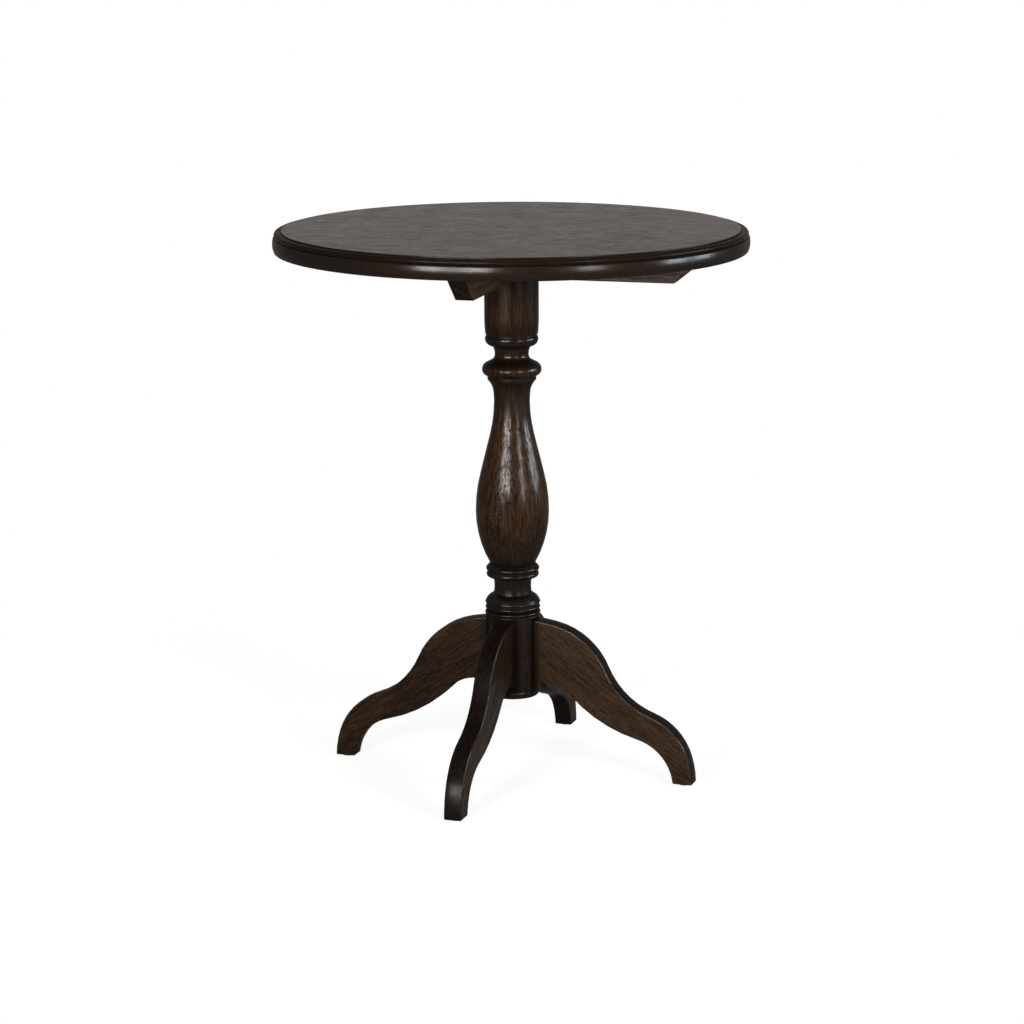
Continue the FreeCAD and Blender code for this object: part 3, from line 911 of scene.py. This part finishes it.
def bearer_rail(sizes, underside, lower_notch):
    """Mesh of one bearer along X with sloped ends, halved at its middle from below or from above."""
    mesh = bmesh.new()
    bottom = underside - sizes.height
    halving = underside - sizes.height / 2
    half = sizes.length / 2
    low_half = half - sizes.end_cut
    notch = sizes.width / 2
    rail = SideLine(mesh, -half, underside)
    rail.line(-low_half, bottom)
    if lower_notch:
        rail.line(-notch, bottom)
        rail.line(-notch, halving)
        rail.line(notch, halving)
        rail.line(notch, bottom)
    rail.line(low_half, bottom)
    rail.line(half, underside)
    if not lower_notch:
        rail.line(notch, underside)
        rail.line(notch, halving)
        rail.line(-notch, halving)
        rail.line(-notch, underside)
    bmesh.ops.contextual_create(mesh, geom=[rail.tip, rail.start])
    extrude_board(mesh, sizes.width)
    round_edges(mesh, corner_edges(mesh), sizes.arris, segments=3)
    frame_flat_sides(mesh, margin=0.5 * MM)
    # The edges and sloped ends are darker: dark glaze with painted shade.
    mark(mesh, "glaze_and_shade", lambda vert: BEARER_EDGE_GLAZE_AND_SHADE if on_edge(vert) else 0.0)
    mark(mesh, "dull", lambda vert: BEARER_EDGE_DULL if on_edge(vert) else 0.0)
    return mesh


class BuildBearers(bpy.types.Operator):
    """Build the two crossed bearers under the top"""

    bl_idname = "side_table.build_bearers"
    bl_label = "Bearers"

    def execute(self, context):
        settings = context.scene.side_table
        for name, square in BEARER_TURNS.items():
            turn = math.degrees(settings.bearer.turn) + square
            mesh = bearer_rail(settings.bearer, settings.top.underside, name == "bearer_cross")
            turn_about_axis(mesh, turn)
            grain_turn = Matrix.Rotation(-math.radians(turn), 3, "Z")
            log_shift = (0.0, 0.3, 0.2 + square / 900)
            # The bearers' paler stain is partly painted light.
            wood = timber(
                name + "_wood", grain_turn, log_shift, stained_tones(settings.finish, BEARER_LIGHT_DEPTH),
                roughness=settings.finish.lacquer_roughness + BEARER_MATT, gloss=BEARER_GLOSS)
            finish_piece(mesh, name, wood)
        return {"FINISHED"}


def turned_column(sizes):
    """Mesh of the column with its mouldings, and with the marks of its dull places and of its dark glaze
    and painted shade.
    """
    mesh = bmesh.new()
    turning = SideLine(mesh, 0, sizes.foot)
    turning.stretch(COLUMN_FOOT_RADIUS * MM, sizes.foot)
    height = sizes.foot
    levels = [(height, COLUMN_FOOT_GLAZE_AND_SHADE)]
    ends = {}
    for moulding, radius, rise, swell, glaze_and_shade_left in COLUMN_MOULDINGS:
        height += rise * MM
        levels.append((height, glaze_and_shade_left))
        ends[moulding] = height
        if swell:
            turning.arc(radius * MM, height, swell * MM)
        else:
            turning.stretch(radius * MM, height)
    turning.stretch(0, height)
    spin_solid(mesh, sizes.turn_steps)
    round_edges(mesh, corner_edges(mesh), sizes.arris, segments=2)
    mark_edges(mesh)

    def on_base(vert):
        return ends["foot quirk"] < vert.co.z < ends["base"]

    # 1 between the legs, where the base is lighter, and 0 beside a leg, where its painted shade is darkest
    def away_from_legs(vert):
        return smooth_step(degrees_off_leg(vert), *BASE_CORNER_ANGLES)

    # Painted shade on top of the dark glaze: darkest on the base beside the legs, and above it in the
    # grooves, under the top and towards the foot.
    def glaze_and_shade(vert):
        return 1.0 - BASE_LIGHTER_BETWEEN_LEGS * away_from_legs(vert) if on_base(vert) else glaze_and_shade_at(levels, vert.co.z)

    def dull(vert):
        if on_base(vert):
            return BASE_CORNER_DULL * (1.0 - away_from_legs(vert))
        return COLLAR_DULL if vert.co.z > ends["collar foot"] else 0.0

    mark(mesh, "glaze_and_shade", glaze_and_shade)
    mark(mesh, "dull", dull)
    return mesh


class BuildColumn(bpy.types.Operator):
    """Build the turned column"""

    bl_idname = "side_table.build_column"
    bl_label = "Column"

    def execute(self, context):
        settings = context.scene.side_table
        upright_grain = Matrix.Rotation(math.radians(90), 3, "Y")
        log_shift = (0.0, 0.4, 0.15)
        wood = timber(
            "column_wood", upright_grain, log_shift, stained_tones(settings.finish),
            roughness=settings.finish.lacquer_roughness, gloss=COLUMN_GLOSS, figure=COLUMN_FIGURE)
        finish_piece(turned_column(settings.column), "column", wood)
        return {"FINISHED"}


def leg_board(sizes):
    """Mesh of the right leg: an S-curve of tangent arcs with rounded arrises."""
    mesh = bmesh.new()
    column_side = KNEE_ROOT[0] * MM
    outlines = [(KNEE_ROOT, KNEE_SLOPE, KNEE_POINTS), (GROIN_ROOT, GROIN_SLOPE, GROIN_POINTS)]
    ends = []
    for root, slope, points in outlines:
        edge = SideLine(mesh, (root[0] - LEG_ROOT_INSET) * MM, root[1] * MM, slope)
        edge.line(root[0] * MM, root[1] * MM)
        for x, z in points:
            edge.tangent_arc(x * MM, z * MM)
        ends.append(edge)
    knee, groin = ends
    bmesh.ops.contextual_create(mesh, geom=[knee.tip, groin.tip])
    bmesh.ops.contextual_create(mesh, geom=[knee.start, groin.start])
    extrude_board(mesh, sizes.thickness)
    arrises = [e for e in corner_edges(mesh) if max(v.co.x for v in e.verts) > column_side]
    round_edges(mesh, arrises, sizes.arris, segments=3)
    frame_flat_sides(mesh, margin=0.6 * MM)
    for distance in LEG_ROOT_CUTS:
        cut_through(mesh, (distance * MM, 0, 0), (1, 0, 0))

    # Painted shade beside the column, and dark glaze with painted shade on the edges.
    def glaze_and_shade(vert):
        near_column = 1.0 - smooth_step(vert.co.x, column_side, LEG_ROOT_CUTS[-1] * MM)
        return LEG_EDGE_GLAZE_AND_SHADE if on_edge(vert) else LEG_ROOT_SHADE * near_column

    mark(mesh, "glaze_and_shade", glaze_and_shade)
    mark(mesh, "dull", lambda vert: LEG_EDGE_DULL if on_edge(vert) else 0.0)
    return mesh


class BuildLegs(bpy.types.Operator):
    """Build the four sawn legs"""

    bl_idname = "side_table.build_legs"
    bl_label = "Legs"

    def execute(self, context):
        settings = context.scene.side_table
        sizes = settings.leg
        for number, (name, turn) in enumerate(LEG_TURNS.items()):
            mesh = leg_board(sizes)
            turn_about_axis(mesh, turn)
            to_right_leg = Matrix.Rotation(-math.radians(turn), 3, "Z")
            grain_turn = Matrix.Rotation(-sizes.grain_slope, 3, "Y") @ to_right_leg
            log_shift = (0.5 * number, 0.1 + 0.07 * number, 0.3)
            # Each leg's depth and paling paint the light and shade on it: the back leg darkest, the right
            # leg palest.
            tones = stained_tones(settings.finish, LEG_SHADE_DEPTHS[name], LEG_LIGHT_PALING[name])
            wood = timber(
                name + "_wood", grain_turn, log_shift, tones,
                roughness=settings.finish.lacquer_roughness + LEG_MATT, gloss=LEG_GLOSS, figure=LEG_FIGURE)
            finish_piece(mesh, name, wood)
        return {"FINISHED"}


class FinishTenons(bpy.types.Operator):
    """Give the hidden loose tenons their timber"""

    bl_idname = "side_table.finish_tenons"
    bl_label = "Tenons"

    def execute(self, context):
        finish = context.scene.side_table.finish
        tones = [finish.tenon_light, finish.tenon_dark, finish.tenon_dark, finish.tenon_light]
        beech = timber(
            "tenon_beech", Matrix.Identity(3), (0, 0, 0), tones,
            roughness=TENON_ROUGHNESS, gloss=TENON_GLOSS)
        for name in TENONS:
            finish_node(name, beech)
        return {"FINISHED"}


class FinishGlides(bpy.types.Operator):
    """Give the floor glides their moulded plastic"""

    bl_idname = "side_table.finish_glides"
    bl_label = "Glides"

    def execute(self, context):
        finish_node("foot_glides", glide_plastic(context.scene.side_table.finish))
        return {"FINISHED"}


# Stage


def seen_directly(tree):
    """1 for rays that show the stage: straight, in gloss or through glass."""
    path = tree.nodes.new("ShaderNodeLightPath")
    straight = maths(tree, "MAXIMUM", path.outputs["Is Camera Ray"], path.outputs["Is Glossy Ray"])
    return maths(tree, "MAXIMUM", straight, path.outputs["Is Transmission Ray"])


def studio_floor(settings):
    """White floor that keeps a soft shadow near the table and fades to plain white."""
    material, tree = empty_material("studio_floor")
    shown = seen_directly(tree)
    distance = tree.nodes.new("ShaderNodeVectorMath")
    distance.operation = "LENGTH"
    tree.links.new(object_place(tree), distance.inputs[0])
    far = ramp(tree, distance.outputs["Value"], low=0.35, high=1.1)
    matt = tree.nodes.new("ShaderNodeBsdfDiffuse")
    matt.inputs["Color"].default_value = rgba(settings.floor_colour)
    lift = tree.nodes.new("ShaderNodeEmission")
    plug(tree, lift.inputs["Strength"], times(tree, shown, FLOOR_LIFT))
    near = tree.nodes.new("ShaderNodeAddShader")
    tree.links.new(matt.outputs[0], near.inputs[0])
    tree.links.new(lift.outputs[0], near.inputs[1])
    white = tree.nodes.new("ShaderNodeEmission")
    mix = tree.nodes.new("ShaderNodeMixShader")
    plug(tree, mix.inputs[0], times(tree, shown, far))
    tree.links.new(near.outputs[0], mix.inputs[1])
    tree.links.new(white.outputs[0], mix.inputs[2])
    output = tree.nodes.new("ShaderNodeOutputMaterial")
    tree.links.new(mix.outputs[0], output.inputs["Surface"])
    return material


def studio_world(settings):
    """White background with a lower level of soft fill light."""
    world = bpy.data.worlds.new("studio")
    world.use_nodes = True
    tree = world.node_tree
    tree.nodes.clear()
    background = tree.nodes.new("ShaderNodeBackground")
    background.inputs["Color"].default_value = (1.0, 1.0, 1.0, 1.0)
    strength = ramp(tree, seen_directly(tree), 0.0, 1.0, settings.fill_strength, 1.0)
    plug(tree, background.inputs["Strength"], strength)
    output = tree.nodes.new("ShaderNodeOutputWorld")
    tree.links.new(background.outputs[0], output.inputs["Surface"])
    bpy.context.scene.world = world


def softbox(settings, name, kind):
    """A soft lamp that points at the table."""
    data = bpy.data.lights.new(name, "AREA")
    data.shape = "RECTANGLE"
    data.size = kind.width
    data.size_y = kind.height
    data.energy = kind.power
    data.color = kind.tint
    lamp = add_object(name, data)
    around = settings.camera_azimuth + math.radians(kind.azimuth)
    rise = math.radians(kind.elevation)
    level = Vector((math.sin(around), -math.cos(around), 0))
    away = level * math.cos(rise) + Vector((0, 0, math.sin(rise)))
    lamp.location = away * settings.lamp_distance + Vector((0, 0, settings.lamp_aim))
    lamp.rotation_euler = away.to_track_quat("Z", "Y").to_euler()
    lamp.visible_camera = False
    lamp.visible_diffuse = not kind.only_gloss


def photograph_camera(settings):
    """The camera at the photograph's viewing angle."""
    data = bpy.data.cameras.new("camera")
    data.lens = settings.camera_lens
    data.sensor_width = SENSOR_MM
    camera = add_object("camera", data)
    around = settings.camera_azimuth
    stand = Vector((math.sin(around), -math.cos(around), 0)) * settings.camera_distance
    stand.z = settings.camera_height
    turn = Matrix.Rotation(around + settings.camera_yaw, 4, "Z")
    tilt = Matrix.Rotation(math.radians(90) - settings.camera_pitch, 4, "X")
    roll = Matrix.Rotation(settings.camera_roll, 4, "Z")
    camera.matrix_world = Matrix.Translation(stand) @ turn @ tilt @ roll
    bpy.context.scene.camera = camera


class BuildStage(bpy.types.Operator):
    """Build the floor, the lamps and the camera"""

    bl_idname = "side_table.build_stage"
    bl_label = "Stage"

    def execute(self, context):
        settings = context.scene.side_table.stage
        mesh = bmesh.new()
        bmesh.ops.create_circle(mesh, cap_ends=True, segments=64, radius=FLOOR_RADIUS)
        data = bpy.data.meshes.new("floor_mesh")
        mesh.to_mesh(data)
        mesh.free()
        data.materials.append(studio_floor(settings))
        floor = add_object("floor", data)
        studio_world(settings)
        for name, kind in LAMPS.items():
            softbox(settings, name, kind)
        photograph_camera(settings)
        context.scene.view_settings.view_transform = "Standard"
        return {"FINISHED"}


class SideTablePanel(bpy.types.Panel):
    """Settings and steps of the side table"""

    bl_idname = "VIEW3D_PT_side_table"
    bl_label = "Side table"
    bl_space_type = "VIEW_3D"
    bl_region_type = "UI"
    bl_category = "Side table"

    def draw(self, context):
        settings = context.scene.side_table
        pieces = [settings.top, settings.bearer, settings.column, settings.leg]
        for group in pieces + [settings.finish, settings.stage]:
            box = self.layout.box()
            for name in group.__annotations__:
                box.prop(group, name)
        for operator in OPERATORS:
            self.layout.operator(operator.bl_idname)


OPERATORS = [BuildTop, BuildBearers, BuildColumn, BuildLegs, FinishTenons, FinishGlides, BuildStage]
GROUPS = [TopSizes, ColumnSizes, LegSizes, BearerSizes, FinishSettings, StageSettings, TableSettings]
CLASSES = GROUPS + OPERATORS + [SideTablePanel]


def register():
    for each in CLASSES:
        bpy.utils.register_class(each)
    bpy.types.Scene.side_table = settings_of(TableSettings, "Side table", "All the settings of the table")


def unregister():
    del bpy.types.Scene.side_table
    for each in reversed(CLASSES):
        bpy.utils.unregister_class(each)


def main():
    register()
    bpy.ops.side_table.build_top()
    bpy.ops.side_table.build_bearers()
    bpy.ops.side_table.build_column()
    bpy.ops.side_table.build_legs()
    bpy.ops.side_table.finish_tenons()
    bpy.ops.side_table.finish_glides()
    bpy.ops.side_table.build_stage()


if __name__ == "__main__":
    main()
